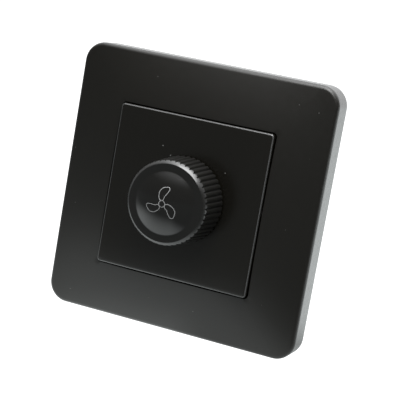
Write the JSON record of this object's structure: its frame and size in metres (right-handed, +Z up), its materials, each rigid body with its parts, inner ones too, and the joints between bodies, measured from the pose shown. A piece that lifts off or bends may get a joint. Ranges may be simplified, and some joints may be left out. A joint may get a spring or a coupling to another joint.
{
  "type": "fan speed control switch",
  "caption": "Square wall plate with a raised square insert and a knurled domed rotary knob that sets a fan's speed, with its regulator in a vented rear housing.",
  "frame": {"origin": "centre of the two box screw slots, on the wall plane", "axes": "+Y into the wall along the knob's axis, +Z up, +X to the right seen from the front"},
  "size_m": [0.086, 0.055, 0.086],
  "materials": {
    "frame_black": "satin moulded black",
    "insert_black": "satin moulded black",
    "knob_black": "glossy moulded black",
    "carrier_black": "fine textured black",
    "housing_black": "fine textured black",
    "zinc_steel": "zinc plated",
    "spring_steel": "bright spring steel",
    "plated_steel": "nickel plated",
    "white_nylon": "moulded nylon",
    "brass": "turned brass",
    "phenolic": "phenolic board",
    "tinned_brass": "tinned",
    "board_green": "lacquered circuit board",
    "aluminium": "extruded, plain",
    "epoxy_black": "moulded epoxy",
    "capacitor_yellow": "moulded box",
    "capacitor_red": "moulded box",
    "ferrite": "sintered ferrite",
    "copper_wire": "enamelled wire",
    "resistor_beige": "lacquered",
    "diode_blue": "lacquered",
    "terminal_grey": "moulded nylon"
  },
  "bodies": {
    "base": {"frame_plate": "frame_black", "insert_panel": "insert_black", "mounting_frame": "carrier_black", "rear_housing": "housing_black", "housing_screws": "zinc_steel", "pot_bushing": "brass", "pot_washer": "plated_steel", "pot_nut": "brass", "pot_track": "phenolic", "pot_can": "plated_steel", "pot_terminals": "tinned_brass", "switch_case": "phenolic", "switch_terminals": "tinned_brass", "circuit_board": "board_green", "board_screws": "zinc_steel", "heat_sink": "aluminium", "triac_case": "epoxy_black", "triac_leadframe": "tinned_brass", "triac_screw": "zinc_steel", "triac_nut": "zinc_steel", "film_capacitor": "capacitor_yellow", "timing_capacitor": "capacitor_red", "choke_core": "ferrite", "choke_winding": "copper_wire", "resistors": "resistor_beige", "diac": "diode_blue", "fuse": "epoxy_black", "terminal_block": "terminal_grey", "terminal_clamps": "brass", "terminal_screws": "zinc_steel"},
    "knob_shaft": {"knob": "knob_black", "knob_spring_ring": "spring_steel", "pot_shaft": "plated_steel", "shaft_clip": "spring_steel", "pot_wiper": "white_nylon"}
  },
  "joints": [
    {"name": "speed_turn", "type": "hinge", "parent": "base", "child": "knob_shaft", "pos_m": [0, 0, 0], "axis": [0, 1, 0], "range_deg": [0, 300]}
  ]
}
